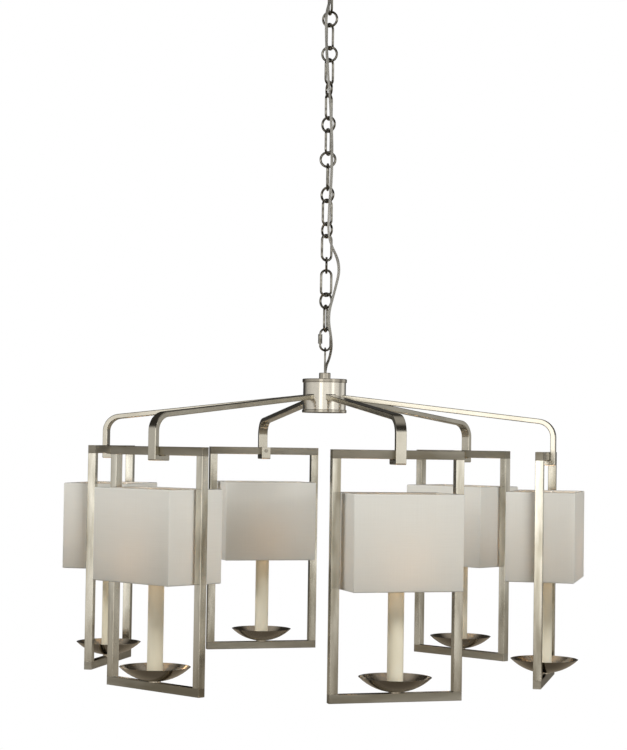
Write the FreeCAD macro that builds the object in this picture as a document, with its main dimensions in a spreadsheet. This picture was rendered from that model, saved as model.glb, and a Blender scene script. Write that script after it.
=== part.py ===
import FreeCAD, Part
import math
import os
import re

import Sketcher

V = FreeCAD.Vector
doc = FreeCAD.newDocument("multi_arm_chandelier")

# ---------------------------------------------------------------- driving sizes, mm
SIZES = {
    # light units: square-bar frames round the hub
    "arm_count": 6,
    "frame_drop": 816.3,
    "frame_radius": 355,
    "frame_width": 198,
    "frame_height": 355,
    "bar_side": 12.7,
    "bar_wall": 1.5,
    "bar_round": 0.9,
    # arms: flat hollow bar, bent down into a square hook round the top bar
    "arm_wide": 16,
    "arm_thick": 8,
    "arm_wall": 1.4,
    "arm_rise": 82,
    "arm_root": 16,
    "arm_level": 30,
    "arm_slope": 0.11,
    "bend_inside": 21,
    "hook_clear": 0.2,
    "hook_round": 2,
    "strip_round": 1.2,
    # hub
    "hub_radius": 34.25,
    "hub_skin": 2.5,
    "rim_radius": 35.6,
    "hub_top": 111,
    "hub_bottom": 57,
    "top_rim": 6,
    "bottom_rim": 5,
    "plate_radius": 29.5,
    "plate_thick": 6,
    "arm_screw_radius": 24,
    "neck_radius": 9.25,
    "neck_high": 10,
    # threaded tubes and wires
    "nipple_radius": 5,
    "nipple_bore": 3.5,
    "thread_clear": 0.1,
    "fit": 0.05,
    # light: dish, candle sleeve, socket, bulb
    "dish_radius": 52.2,
    "dish_deep": 20,
    "dish_skin": 1.2,
    "dish_foot": 2.2,
    "dish_foot_radius": 9,
    "dish_flat": 14,
    "candle_radius": 11.6,
    "candle_skin": 1.2,
    "candle_high": 152,
    "bulb_radius": 17.5,
    # shade: a box of fabric on a wire frame
    "shade_wide": 163,
    "shade_deep": 105,
    "shade_high": 137,
    "shade_drop": 60.5,
    "shade_skin": 1.2,
    "shade_wire": 2.4,
    # chain
    "chain_wire": 3.8,
    "link_long": 45,
    "link_wide": 20.6,
    "ring_wide": 27.4,
    "chain_gap": 0.2,
    "link_count": 10,
    "hang_turn": -17.3,
    "quick_wire": 3.5,
    "quick_long": 38,
    "quick_wide": 20,
    "eye_wire": 3,
    "eye_wide": 17,
    # ceiling fitting
    "canopy_radius": 63.5,
    "canopy_deep": 38,
    "canopy_skin": 1.2,
    "crossbar_long": 110,
    "crossbar_wide": 22,
    "crossbar_thick": 2.5,
    "box_screws": 88.9,
    "base_radius": 12.4,
    "base_bottom": 54.5,
    "base_mouth": 7,
    "pin_drop": 49.5,
    "pin_radius": 2,
    "bail_wire": 4,
    "bail_leg": 15,
    "bail_straight": 16,
    # supply cord
    "cord_wide": 4.6,
    "cord_front": 17,
    "cord_bulge": 27,
    "lead_wide": 2.4,
}

sheet = doc.addObject("Spreadsheet::Sheet", "sizes")
for row, (alias, value) in enumerate(SIZES.items(), start=1):
    sheet.set(f"A{row}", alias)
    sheet.set(f"B{row}", str(value))
    sheet.setAlias(f"B{row}", alias)
doc.recompute()


def size(alias):
    """One driving size, as the sheet holds it."""
    return float(getattr(sheet, alias))


def ref(text):
    """An expression in the sheet's words, with each word pointed at the sheet."""
    return re.sub(r"[a-z][a-z_]+", lambda word: "<<sizes>>." + word.group(0), str(text))


sheet.Label = "sizes"
TURN_STEP = 360.0 / size("arm_count")
UNITS = range(int(size("arm_count")))
FRONT = -90.0
outputs = {}


def about_z(degrees, base=V(0, 0, 0)):
    return FreeCAD.Placement(base, FreeCAD.Rotation(V(0, 0, 1), degrees))


def unit_turn(k):
    """Where light unit k stands: the first at the front, then anticlockwise."""
    return FRONT + k * TURN_STEP


# ---------------------------------------------------------------- helpers
def new_body(label, turn=0.0):
    body = doc.addObject("PartDesign::Body", label)
    body.Label = label
    body.Placement = about_z(turn)
    return body


def origin_part(body, role):
    return next(o for o in body.Origin.OriginFeatures if o.Role == role)


def new_sketch(body, plane, name, lift=None):
    """A sketch on one of the body's own planes, lifted off it by an expression."""
    sketch = body.newObject("Sketcher::SketchObject", name)
    sketch.AttachmentSupport = [(origin_part(body, plane), "")]
    sketch.MapMode = "FlatFace"
    if lift is not None:
        sketch.setExpression("AttachmentOffset.Base.z", ref(lift))
    return sketch


def hold(sketch, kind, args, text):
    """A dimension on the sketch, driven by the sheet."""
    number = sketch.addConstraint(Sketcher.Constraint(kind, *args, 1.0))
    sketch.setExpression(f"Constraints[{number}]", ref(text))


def outline(sketch, corners):
    """A closed outline whose corners are all placed by the sheet."""
    count = len(corners)
    first = sketch.GeometryCount
    guess = [
        V(math.cos(2 * math.pi * i / count), math.sin(2 * math.pi * i / count), 0)
        for i in range(count)
    ]
    for i in range(count):
        sketch.addGeometry(Part.LineSegment(guess[i], guess[(i + 1) % count]), False)
    for i in range(count):
        follows = first + (i + 1) % count
        sketch.addConstraint(Sketcher.Constraint("Coincident", first + i, 2, follows, 1))
    for i, (x, y) in enumerate(corners):
        hold(sketch, "DistanceX", (-1, 1, first + i, 1), x)
        hold(sketch, "DistanceY", (-1, 1, first + i, 1), y)


def rectangle(sketch, left, bottom, right, top):
    outline(sketch, [(left, bottom), (right, bottom), (right, top), (left, top)])


def circle(sketch, x, y, radius):
    number = sketch.addGeometry(Part.Circle(V(1, 1, 0), V(0, 0, 1), 1.0), False)
    hold(sketch, "DistanceX", (-1, 1, number, 3), x)
    hold(sketch, "DistanceY", (-1, 1, number, 3), y)
    hold(sketch, "Radius", (number,), radius)


def pad(body, sketch, length, middle=False, name="Pad"):
    feature = body.newObject("PartDesign::Pad", name)
    feature.Profile = sketch
    feature.Midplane = middle
    feature.setExpression("Length", ref(length))
    return feature


def pocket(body, sketch, length=None, middle=True, back=False, name="Pocket"):
    """A cut by length from the sketch, or right through when no length is given."""
    feature = body.newObject("PartDesign::Pocket", name)
    feature.Profile = sketch
    feature.Midplane = middle
    feature.Reversed = back
    if length is None:
        feature.Type = "ThroughAll"
    else:
        feature.setExpression("Length", ref(length))
    return feature


def revolve(body, corners, name="Turned"):
    """A turned solid about Z: corners are (radius, height) in the sheet's words."""
    sketch = new_sketch(body, "XZ_Plane", name + "Profile")
    outline(sketch, corners)
    feature = body.newObject("PartDesign::Revolution", name)
    feature.Profile = sketch
    feature.ReferenceAxis = (sketch, ["V_Axis"])
    feature.Angle = 360
    return feature


def spin_pattern(body, feature, count, name="Pattern"):
    pattern = body.newObject("PartDesign::PolarPattern", name)
    pattern.Originals = [feature]
    pattern.Axis = (origin_part(body, "Z_Axis"), [""])
    pattern.Angle = 360
    pattern.setExpression("Occurrences", ref(count))
    body.Tip = pattern
    return pattern


def edges_near(shape, x, z, reach=0.6):
    """Edges across the body whose middle is at this x and z."""
    names = []
    for number, edge in enumerate(shape.Edges, start=1):
        box = edge.BoundBox
        at = abs(box.Center.x - x) < reach and abs(box.Center.z - z) < reach
        if at and box.XLength < 1e-3 and box.ZLength < 1e-3:
            names.append(f"Edge{number}")
    return names


def rounding(body, places, radius, name):
    """Rounds the edges that cross the body at these places."""
    doc.recompute()
    tip = body.Tip
    local = tip.Shape
    names = []
    for x, z in places:
        found = edges_near(local, x, z)
        if not found:
            raise RuntimeError(f"{body.Label}: no edge to round at {x:.1f}, {z:.1f}")
        names += found
    feature = body.newObject("PartDesign::Fillet", name)
    feature.Base = (tip, names)
    feature.Radius = radius
    return feature


def group(label, members):
    """One node that holds several equal solids, each still its own."""
    compound = doc.addObject("Part::Compound", label)
    compound.Label = label
    compound.Links = members
    outputs[label] = compound
    return compound


def code_shape(label, shape, placement=None):
    """A swept shape that no body feature makes; its sizes come from the sheet."""
    feature = doc.addObject("Part::Feature", label)
    feature.Label = label
    feature.Shape = shape
    if placement is not None:
        feature.Placement = placement
    outputs[label] = feature
    return feature


def bent_path(points, radii):
    """Straight runs joined by arcs of the given radii, one for each inner corner."""
    edges = []
    start = points[0]
    for before, corner, after, radius in zip(points, points[1:], points[2:], radii):
        way_in = (corner - before).normalize()
        way_out = (after - corner).normalize()
        half = way_in.getAngle(way_out) / 2
        back = radius * math.tan(half)
        entry = corner - way_in * back
        leave = corner + way_out * back
        inward = (way_out - way_in).normalize()
        middle = corner + inward * (radius / math.cos(half) - radius)
        edges.append(Part.LineSegment(start, entry).toShape())
        edges.append(Part.Arc(entry, middle, leave).toShape())
        start = leave
    edges.append(Part.LineSegment(start, points[-1]).toShape())
    return Part.Wire(edges)


def free_radii(points, share=0.45):
    """The widest gentle radii: each arc takes this share of the shorter run beside it."""
    radii = []
    for before, corner, after in zip(points, points[1:], points[2:]):
        half = (corner - before).getAngle(after - corner) / 2
        shorter = min((corner - before).Length, (after - corner).Length)
        radii.append(share * shorter / math.tan(half))
    return radii


def tube_along(wire, radius):
    """A round bar swept along a wire; a closed wire gives a closed ring."""
    first = wire.OrderedEdges[0]
    at = first.valueAt(first.FirstParameter)
    along = first.tangentAt(first.FirstParameter)
    ring = Part.Wire(Part.makeCircle(radius, at, along))
    swept = wire.makePipeShell([ring], True, True)
    if swept.ShapeType != "Solid":
        swept = Part.Solid(swept)
    if swept.Volume < 0:
        swept = swept.reversed()
    return swept


def ring_link(outer_long, outer_wide, wire, turn, top):
    """An upright closed link: two legs and two round ends. Its top is at height top."""
    half = (outer_wide - wire) / 2
    leg = outer_long / 2 - outer_wide / 2
    mid = top - outer_long / 2
    if leg > 1e-6:
        edges = [
            Part.LineSegment(V(half, 0, mid - leg), V(half, 0, mid + leg)).toShape(),
            Part.Arc(
                V(half, 0, mid + leg), V(0, 0, mid + leg + half), V(-half, 0, mid + leg)
            ).toShape(),
            Part.LineSegment(V(-half, 0, mid + leg), V(-half, 0, mid - leg)).toShape(),
            Part.Arc(
                V(-half, 0, mid - leg), V(0, 0, mid - leg - half), V(half, 0, mid - leg)
            ).toShape(),
        ]
        solid = tube_along(Part.Wire(edges), wire / 2)
    else:
        solid = Part.makeTorus(half, wire / 2, V(0, 0, mid), V(0, 1, 0))
    solid.rotate(V(0, 0, 0), V(0, 0, 1), turn)
    return solid


# ---------------------------------------------------------------- ceiling fitting
def make_canopy():
    body = new_body("ceiling_canopy")
    hole = "base_radius + 0.3"
    revolve(body, [
        ("canopy_radius", "0"),
        ("canopy_radius", "-7"),
        ("canopy_radius - 6", "-18"),
        ("canopy_radius - 22", "-30"),
        ("base_radius + 9", "-canopy_deep"),
        (hole, "-canopy_deep"),
        (hole, "canopy_skin - canopy_deep"),
        ("base_radius + 8.7", "canopy_skin - canopy_deep"),
        ("canopy_radius - 22.6", "canopy_skin - 30"),
        ("canopy_radius - 7", "-17.4"),
        ("canopy_radius - canopy_skin", "-6.7"),
        ("canopy_radius - canopy_skin", "0"),
    ])
    outputs["ceiling_canopy"] = body


def make_crossbar():
    body = new_body("canopy_crossbar")
    sketch = new_sketch(body, "XY_Plane", "Strip", "-crossbar_thick")
    rectangle(sketch, "-crossbar_long / 2", "-crossbar_wide / 2",
              "crossbar_long / 2", "crossbar_wide / 2")
    circle(sketch, "0", "0", "nipple_radius + thread_clear")
    circle(sketch, "box_screws / 2", "0", "2.4")
    circle(sketch, "-box_screws / 2", "0", "2.4")
    pad(body, sketch, "crossbar_thick")
    outputs["canopy_crossbar"] = body


def turned_tube(label, outer, inner, low, high):
    """A plain threaded tube, its threads left smooth."""
    body = new_body(label)
    revolve(body, [(inner, low), (outer, low), (outer, high), (inner, high)])
    return body


def hex_nut(label, low, across, high):
    """A hexagon nut on the centre line; low is its underside in the sheet's words."""
    solid = doc.addObject("Part::Prism", label + "_solid")
    solid.Polygon = 6
    solid.Circumradius = across / math.sqrt(3)
    solid.Height = high
    solid.setExpression("Placement.Base.z", ref(low))
    bore = doc.addObject("Part::Cylinder", label + "_bore")
    bore.setExpression("Radius", ref("nipple_radius + fit"))
    bore.Height = high + 2
    bore.setExpression("Placement.Base.z", ref(f"{low} - 1"))
    nut = doc.addObject("Part::Cut", label)
    nut.Base = solid
    nut.Tool = bore
    return nut


def make_swivel_base():
    body = new_body("swivel_base")
    thread = "nipple_radius + fit"
    revolve(body, [
        (thread, "-30"),
        ("base_radius", "-30"),
        ("base_radius", "1 - base_bottom"),
        ("base_radius - 1", "-base_bottom"),
        ("base_mouth", "-base_bottom"),
        ("base_mouth", "10 - base_bottom"),
        ("nipple_bore", "10 - base_bottom"),
        ("nipple_bore", "-40"),
        (thread, "-40"),
    ])
    sketch = new_sketch(body, "YZ_Plane", "PinHoles")
    circle(sketch, "0", "-pin_drop", "pin_radius + fit")
    pocket(body, sketch, name="PinBore")
    outputs["swivel_base"] = body


def make_collar():
    body = new_body("screw_collar")
    top = "-canopy_deep - fit"
    revolve(body, [
        ("base_radius + fit", top),
        ("base_radius + 6.5", top),
        ("base_radius + 6.5", "-canopy_deep - 4.5"),
        ("base_radius + 5", "-canopy_deep - 6"),
        ("base_radius + fit", "-canopy_deep - 6"),
    ])
    outputs["screw_collar"] = body


def make_bail():
    """A U of round bar whose two eyes turn on the pins in the swivel base."""
    leg = size("bail_leg")
    wire = size("bail_wire")
    pin = -size("pin_drop")
    low = pin - size("bail_straight")
    edges = [
        Part.LineSegment(V(-leg, 0, pin - 3), V(-leg, 0, low)).toShape(),
        Part.Arc(V(-leg, 0, low), V(0, 0, low - leg), V(leg, 0, low)).toShape(),
        Part.LineSegment(V(leg, 0, low), V(leg, 0, pin - 3)).toShape(),
    ]
    solid = tube_along(Part.Wire(edges), wire / 2)
    for side in (-1, 1):
        start = V(side * leg - wire / 2 - 0.25, 0, pin)
        solid = solid.fuse(Part.makeCylinder(4.4, wire + 0.5, start, V(1, 0, 0)))
    bore = Part.makeCylinder(
        size("pin_radius") + size("fit"), 4 * leg, V(-2 * leg, 0, pin), V(1, 0, 0)
    )
    code_shape("swivel_bail", solid.cut(bore).removeSplitter())


def make_bail_pins():
    """Two shoulder screws, from inside the base out through the bail's eyes."""
    pins = []
    for side, turn in (("right", 0), ("left", 180)):
        body = new_body("bail_pin_" + side, turn)
        sketch = new_sketch(body, "YZ_Plane", "Shank", "base_mouth + 0.6")
        circle(sketch, "0", "-pin_drop", "pin_radius")
        pad(body, sketch, "bail_leg + bail_wire / 2 + 0.3 - base_mouth - 0.6")
        head = new_sketch(body, "YZ_Plane", "Head", "bail_leg + bail_wire / 2 + 0.3")
        circle(head, "0", "-pin_drop", "pin_radius + 1.8")
        pad(body, head, "2", name="HeadPad")
        pins.append(body)
    group("bail_pins", pins)


# ---------------------------------------------------------------- chain
# how each link and ring happens to hang, in degrees, from the top down
LONG_TURNS = (54, 46, 57, 62, 85, 34, 26, 15, 74)
RING_TURNS = (-19, -10, -69, -33, -3, -37, -49, 90, -41)


def hang(degrees):
    return size("hang_turn") + degrees


def bail_seat():
    """Height of the bail's lowest centre line."""
    return -size("pin_drop") - size("bail_straight") - size("bail_leg")


def chain_tops():
    """The top height of every long link and ring, hung one in another."""
    wire = size("chain_wire")
    overlap = 2 * wire + size("chain_gap")
    links = [bail_seat() + size("bail_wire") / 2 + size("chain_gap") + wire]
    rings = []
    for _ in range(int(size("link_count")) - 1):
        rings.append(links[-1] - size("link_long") + overlap)
        links.append(rings[-1] - size("ring_wide") + overlap)
    return links, rings


def make_chain():
    links, rings = chain_tops()
    wire = size("chain_wire")
    long_link = (size("link_long"), size("link_wide"), wire)
    ring = (size("ring_wide"), size("ring_wide"), wire)
    code_shape("chain_top_link", ring_link(*long_link, 90, links[0]))
    solids = [
        ring_link(*long_link, hang(turn), top)
        for turn, top in zip(LONG_TURNS, links[1:])
    ]
    code_shape("chain_long_links", Part.makeCompound(solids))
    solids = [ring_link(*ring, hang(turn), top) for turn, top in zip(RING_TURNS, rings)]
    code_shape("chain_rings", Part.makeCompound(solids))


def quick_link_top():
    links, _ = chain_tops()
    bottom = links[-1] - size("link_long")
    return bottom + size("chain_wire") + size("quick_wire") + size("chain_gap")


def eye_top():
    bottom = quick_link_top() - size("quick_long")
    return bottom + size("quick_wire") + size("eye_wire") + size("chain_gap")


def make_quick_link():
    """An oval link whose left leg is open under a threaded sleeve."""
    wire = size("quick_wire")
    top = quick_link_top()
    middle = top - size("quick_long") / 2
    leg = -(size("quick_wide") - wire) / 2
    link = ring_link(size("quick_long"), size("quick_wide"), wire, 0, top)
    gap = Part.makeBox(wire + 1, wire + 1, 5, V(leg - wire / 2 - 0.5, -wire / 2 - 0.5, middle))
    turn = hang(8)
    code_shape("quick_link", link.cut(gap), about_z(turn))
    sleeve = Part.makeCylinder(3.4, 15, V(leg, 0, middle - 6.5))
    bore = Part.makeCylinder(wire / 2 + size("fit"), 17, V(leg, 0, middle - 7.5))
    code_shape("quick_link_sleeve", sleeve.cut(bore), about_z(turn))


# ---------------------------------------------------------------- hub
def up(text):
    """A height above the frames' top, as the sheet works it out."""
    return f"{text} - frame_drop"


def make_eye():
    """A narrow hairpin of round wire, its two legs pressed into the neck."""
    half = (size("eye_wide") - size("eye_wire")) / 2
    arch = eye_top() - size("eye_wire") / 2 - half
    foot = size("hub_top") + size("neck_high") - 4 - size("frame_drop")
    edges = [
        Part.LineSegment(V(-half, 0, foot), V(-half, 0, arch)).toShape(),
        Part.Arc(V(-half, 0, arch), V(0, 0, arch + half), V(half, 0, arch)).toShape(),
        Part.LineSegment(V(half, 0, arch), V(half, 0, foot)).toShape(),
    ]
    solid = tube_along(Part.Wire(edges), size("eye_wire") / 2)
    code_shape("hub_eye", solid, about_z(hang(90)))


def make_neck():
    body = new_body("hub_neck", hang(90))
    top = up("hub_top + neck_high")
    revolve(body, [
        ("nipple_radius + fit", up("hub_top")),
        ("neck_radius", up("hub_top")),
        ("neck_radius", f"{top} - 0.8"),
        ("neck_radius - 0.8", top),
        ("nipple_bore", top),
        ("nipple_bore", f"{top} - neck_high + 6"),
        ("nipple_radius + fit", f"{top} - neck_high + 6"),
    ])
    sketch = new_sketch(body, "XY_Plane", "LegHoles", top)
    circle(sketch, "(eye_wide - eye_wire) / 2", "0", "eye_wire / 2 + fit")
    circle(sketch, "(eye_wire - eye_wide) / 2", "0", "eye_wire / 2 + fit")
    pocket(body, sketch, "4 + fit", middle=False)
    outputs["hub_neck"] = body


def make_caps():
    top = new_body("hub_top_cap")
    under = up("hub_top - top_rim")
    lip = "hub_radius - hub_skin - fit"
    bore = "nipple_radius + thread_clear"
    revolve(top, [
        (bore, up("hub_top - 3")),
        (bore, up("hub_top")),
        ("rim_radius - 0.8", up("hub_top")),
        ("rim_radius", up("hub_top - 0.8")),
        ("rim_radius", under + " + 0.8"),
        ("rim_radius - 0.8", under),
        (lip, under),
        (lip, under + " - 4"),
        (lip + " - 2", under + " - 4"),
        (lip + " - 2", up("hub_top - 3")),
    ])
    outputs["hub_top_cap"] = top
    low = new_body("hub_bottom_cap")
    over = up("hub_bottom + bottom_rim")
    base = up("hub_bottom")
    revolve(low, [
        (bore, base + " + 7"),
        (bore, base + " + 4"),
        ("12", base + " + 4"),
        ("12", base),
        ("rim_radius - 0.8", base),
        ("rim_radius", base + " + 0.8"),
        ("rim_radius", over + " - 0.8"),
        ("rim_radius - 0.8", over),
        (lip, over),
        (lip, over + " + 4"),
        (lip + " - 2", over + " + 4"),
        (lip + " - 2", base + " + 3"),
        ("15", base + " + 3"),
        ("15", base + " + 7"),
    ])
    outputs["hub_bottom_cap"] = low


def make_hub_body():
    body = new_body("hub_body", FRONT)
    low = up("hub_bottom + bottom_rim")
    high = up("hub_top - top_rim")
    inner = "hub_radius - hub_skin"
    revolve(body, [(inner, low), ("hub_radius", low), ("hub_radius", high), (inner, high)])
    sketch = new_sketch(body, "YZ_Plane", "ArmSlot")
    rectangle(
        sketch,
        "-arm_wide / 2 - 0.1", up("arm_rise - arm_thick / 2 - 0.6"),
        "arm_wide / 2 + 0.1", up("arm_rise + arm_thick / 2 + 0.1"),
    )
    doc.recompute()
    before = body.Tip.Shape.Volume
    slot = pocket(body, sketch, "2 * hub_radius + 2", name="Slots")
    doc.recompute()
    if slot.Shape.Volume >= before:
        raise RuntimeError("the arm slots cut nothing")
    spin_pattern(body, slot, "arm_count")
    outputs["hub_body"] = body


def make_plate():
    body = new_body("hub_plate", FRONT)
    sketch = new_sketch(body, "XY_Plane", "Disc", up("arm_rise - arm_thick / 2 - plate_thick"))
    circle(sketch, "0", "0", "plate_radius")
    circle(sketch, "0", "0", "nipple_radius + thread_clear")
    pad(body, sketch, "plate_thick")
    holes = new_sketch(body, "XY_Plane", "Holes", up("arm_rise - arm_thick / 2"))
    circle(holes, "arm_screw_radius", "0", "2.5 + fit")
    hole = pocket(body, holes, "plate_thick + 1", middle=False)
    spin_pattern(body, hole, "arm_count")
    outputs["hub_plate"] = body


def make_arm_screws():
    screws = []
    for k in UNITS:
        body = new_body(f"arm_screw_{k + 1}", unit_turn(k))
        top = up("arm_rise + arm_thick / 2")
        head = new_sketch(body, "XY_Plane", "Head", top)
        circle(head, "arm_screw_radius", "0", "4.2")
        pad(body, head, "4")
        shank = new_sketch(body, "XY_Plane", "Shank", top + " - arm_thick - plate_thick")
        circle(shank, "arm_screw_radius", "0", "2.5")
        pad(body, shank, "arm_thick + plate_thick + 0.5", name="ShankPad")
        screws.append(body)
    group("arm_screws", screws)


# ---------------------------------------------------------------- arms and frames
HOOK_OUT = "frame_radius + bar_side / 2 + hook_clear + arm_thick"
HOOK_FACE = "frame_radius + bar_side / 2 + hook_clear"
HOOK_INNER = "frame_radius - bar_side / 2 - hook_clear"
HOOK_BACK = "frame_radius - bar_side / 2 - hook_clear - arm_thick"
BAR_MIDDLE = "-frame_drop - bar_side / 2"
UNDER_BAR = "-frame_drop - bar_side - 0.05"
LEAD_SIDE = "4.6"


def on_slope(at, offset):
    """Height on the sloping arm at a radius, offset up or down from its middle."""
    return f"arm_rise + {offset} - arm_slope * ({at} - arm_level) - frame_drop"


def slope_height(at, offset):
    """The same height as a number."""
    fall = size("arm_slope") * (at - size("arm_level"))
    return size("arm_rise") + offset - fall - size("frame_drop")


def round_strip(body):
    """The strip's long corners, along both sides from the hub to the hook's end."""
    doc.recompute()
    tip = body.Tip
    side = size("arm_wide") / 2
    names = []
    for number, edge in enumerate(tip.Shape.Edges, start=1):
        box = edge.BoundBox
        if box.YLength < 1e-3 and abs(abs(box.Center.y) - side) < 0.01:
            names.append(f"Edge{number}")
    fillet = body.newObject("PartDesign::Fillet", "StripCorners")
    fillet.Base = (tip, names)
    fillet.setExpression("Radius", ref("strip_round"))


def make_arm(k):
    label = f"arm_{k + 1}"
    body = new_body(label, unit_turn(k))
    half = "arm_thick / 2"
    sketch = new_sketch(body, "XZ_Plane", "Side")
    outline(sketch, [
        ("arm_root", up(f"arm_rise + {half}")),
        ("arm_level", up(f"arm_rise + {half}")),
        (HOOK_OUT, on_slope(HOOK_OUT, half)),
        (HOOK_OUT, UNDER_BAR + " - arm_thick"),
        (HOOK_BACK, UNDER_BAR + " - arm_thick"),
        (HOOK_BACK, "-frame_drop"),
        (HOOK_INNER, "-frame_drop"),
        (HOOK_INNER, UNDER_BAR),
        (HOOK_FACE, UNDER_BAR),
        (HOOK_FACE, on_slope(HOOK_FACE, "-" + half)),
        ("arm_level", up(f"arm_rise - {half}")),
        ("arm_root", up(f"arm_rise - {half}")),
    ])
    pad(body, sketch, "arm_wide", middle=True, name="Strip")
    wall = "arm_thick / 2 - arm_wall"
    cavity = new_sketch(body, "XZ_Plane", "WireWay")
    out = HOOK_OUT + " - arm_wall"
    face = HOOK_FACE + " + arm_wall"
    outline(cavity, [
        ("arm_root - 1", up(f"arm_rise + {wall}")),
        ("arm_level", up(f"arm_rise + {wall}")),
        (out, on_slope(out, wall)),
        (out, "-frame_drop - bar_side"),
        (face, "-frame_drop - bar_side"),
        (face, on_slope(face, f"arm_wall - {half}")),
        ("arm_level", up(f"arm_rise - {half} + arm_wall")),
        ("arm_root - 1", up(f"arm_rise - {half} + arm_wall")),
    ])
    pocket(body, cavity, "arm_wide - 2 * arm_wall", name="WireWayCut")
    thick, skin = size("arm_thick"), size("arm_wall")
    outer = size("frame_radius") + size("bar_side") / 2 + size("hook_clear") + thick
    inner = outer - thick
    tight = size("bend_inside")
    bends = (
        ("CavityInner", inner + skin, skin - thick / 2, tight + skin),
        ("CavityOuter", outer - skin, thick / 2 - skin, tight + thick - skin),
        ("BendInner", inner, -thick / 2, tight),
        ("BendOuter", outer, thick / 2, tight + thick),
    )
    for name, x, offset, radius in bends:
        rounding(body, [(x, slope_height(x, offset))], radius, name)
    low = -size("frame_drop") - size("bar_side") - 0.05 - thick
    back = size("frame_radius") - size("bar_side") / 2 - size("hook_clear") - thick
    rounding(body, [(outer, low), (back, low)], size("hook_round"), "HookRound")
    round_strip(body)
    screw = new_sketch(body, "YZ_Plane", "SetScrewHole", HOOK_BACK + " - 0.5")
    circle(screw, "0", BAR_MIDDLE, "3 + fit")
    pocket(body, screw, "arm_thick + 1", middle=False, back=True, name="SetScrewBore")
    lead = new_sketch(body, "YZ_Plane", "LeadHole", HOOK_FACE + " - 0.5")
    circle(lead, LEAD_SIDE, BAR_MIDDLE, "2")
    pocket(body, lead, "arm_wall + 1", middle=False, back=True, name="LeadBore")
    clamp = new_sketch(body, "XY_Plane", "ClampHole")
    circle(clamp, "arm_screw_radius", "0", "2.6")
    pocket(body, clamp, name="ClampBore")
    outputs[label] = body


def round_bars(body):
    """The drawn bar's long corners, front and back, round every side of the frame."""
    doc.recompute()
    tip = body.Tip
    face = size("bar_side") / 2
    names = []
    for number, edge in enumerate(tip.Shape.Edges, start=1):
        middle = edge.CenterOfMass
        on_face = abs(abs(middle.x - size("frame_radius")) - face) < 0.01
        if on_face and edge.Length > size("frame_width") / 2:
            names.append(f"Edge{number}")
    fillet = body.newObject("PartDesign::Fillet", "BarCorners")
    fillet.Base = (tip, names)
    fillet.setExpression("Radius", ref("bar_round"))


def make_frame(k):
    label = f"frame_{k + 1}"
    body = new_body(label, unit_turn(k))
    half = "frame_width / 2"
    foot = "-frame_drop - frame_height"
    sketch = new_sketch(body, "YZ_Plane", "Front", "frame_radius")
    rectangle(sketch, "-" + half, foot, half, "-frame_drop")
    inside = half + " - bar_side"
    rectangle(sketch, "-frame_width / 2 + bar_side", foot + " + bar_side",
              inside, "-frame_drop - bar_side")
    pad(body, sketch, "bar_side", middle=True, name="Bars")
    way = new_sketch(body, "YZ_Plane", "WireWay", "frame_radius")
    rectangle(way, "-frame_width / 2 + bar_wall", foot + " + bar_wall",
              half + " - bar_wall", "-frame_drop - bar_wall")
    rectangle(way, "-frame_width / 2 + bar_side - bar_wall", foot + " + bar_side - bar_wall",
              inside + " + bar_wall", "-frame_drop - bar_side + bar_wall")
    pocket(body, way, "bar_side - 2 * bar_wall", name="WireWayCut")
    lead = new_sketch(body, "YZ_Plane", "LeadHole",
                      "frame_radius + bar_side / 2 - bar_wall - 0.5")
    circle(lead, LEAD_SIDE, BAR_MIDDLE, "2")
    pocket(body, lead, "bar_wall + 1", middle=False, back=True, name="LeadBore")
    seat = new_sketch(body, "XY_Plane", "CandleHole", foot + " + bar_side + 0.5")
    circle(seat, "frame_radius", "0", "nipple_radius + fit")
    pocket(body, seat, "bar_wall + 1", middle=False, name="CandleBore")
    round_bars(body)
    outputs[label] = body


def make_set_screws():
    screws = []
    for k in UNITS:
        body = new_body(f"set_screw_{k + 1}", unit_turn(k))
        shank = new_sketch(body, "YZ_Plane", "Shank", HOOK_BACK + " - 2.2")
        circle(shank, "0", BAR_MIDDLE, "3")
        pad(body, shank, "arm_thick + 2.2 + hook_clear - fit")
        slot = new_sketch(body, "YZ_Plane", "Slot", HOOK_BACK + " - 2.3")
        rectangle(slot, "-4", BAR_MIDDLE + " - 0.5", "4", BAR_MIDDLE + " + 0.5")
        pocket(body, slot, "1.3", middle=False, back=True, name="DriverSlot")
        screws.append(body)
    group("set_screws", screws)


# ---------------------------------------------------------------- lights
SEAT = "bar_side - frame_drop - frame_height"
DISH = SEAT + " + dish_foot"
CANDLE_FOOT = DISH + " + dish_skin + fit"
CANDLE_TOP = CANDLE_FOOT + " + candle_high"


def at_light(body):
    """Moves a body that was turned about its own axis out to its frame."""
    turn = body.Placement.Rotation.Angle * body.Placement.Rotation.Axis.z
    body.setExpression("Placement.Base.x", f"<<sizes>>.frame_radius * {math.cos(turn):.9f}")
    body.setExpression("Placement.Base.y", f"<<sizes>>.frame_radius * {math.sin(turn):.9f}")


def turned_lights(label, corners):
    """One turned solid for each light unit, as bodies."""
    bodies = []
    for k in UNITS:
        body = new_body(f"{label}_{k + 1}", unit_turn(k))
        revolve(body, corners)
        at_light(body)
        bodies.append(body)
    return bodies


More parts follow.
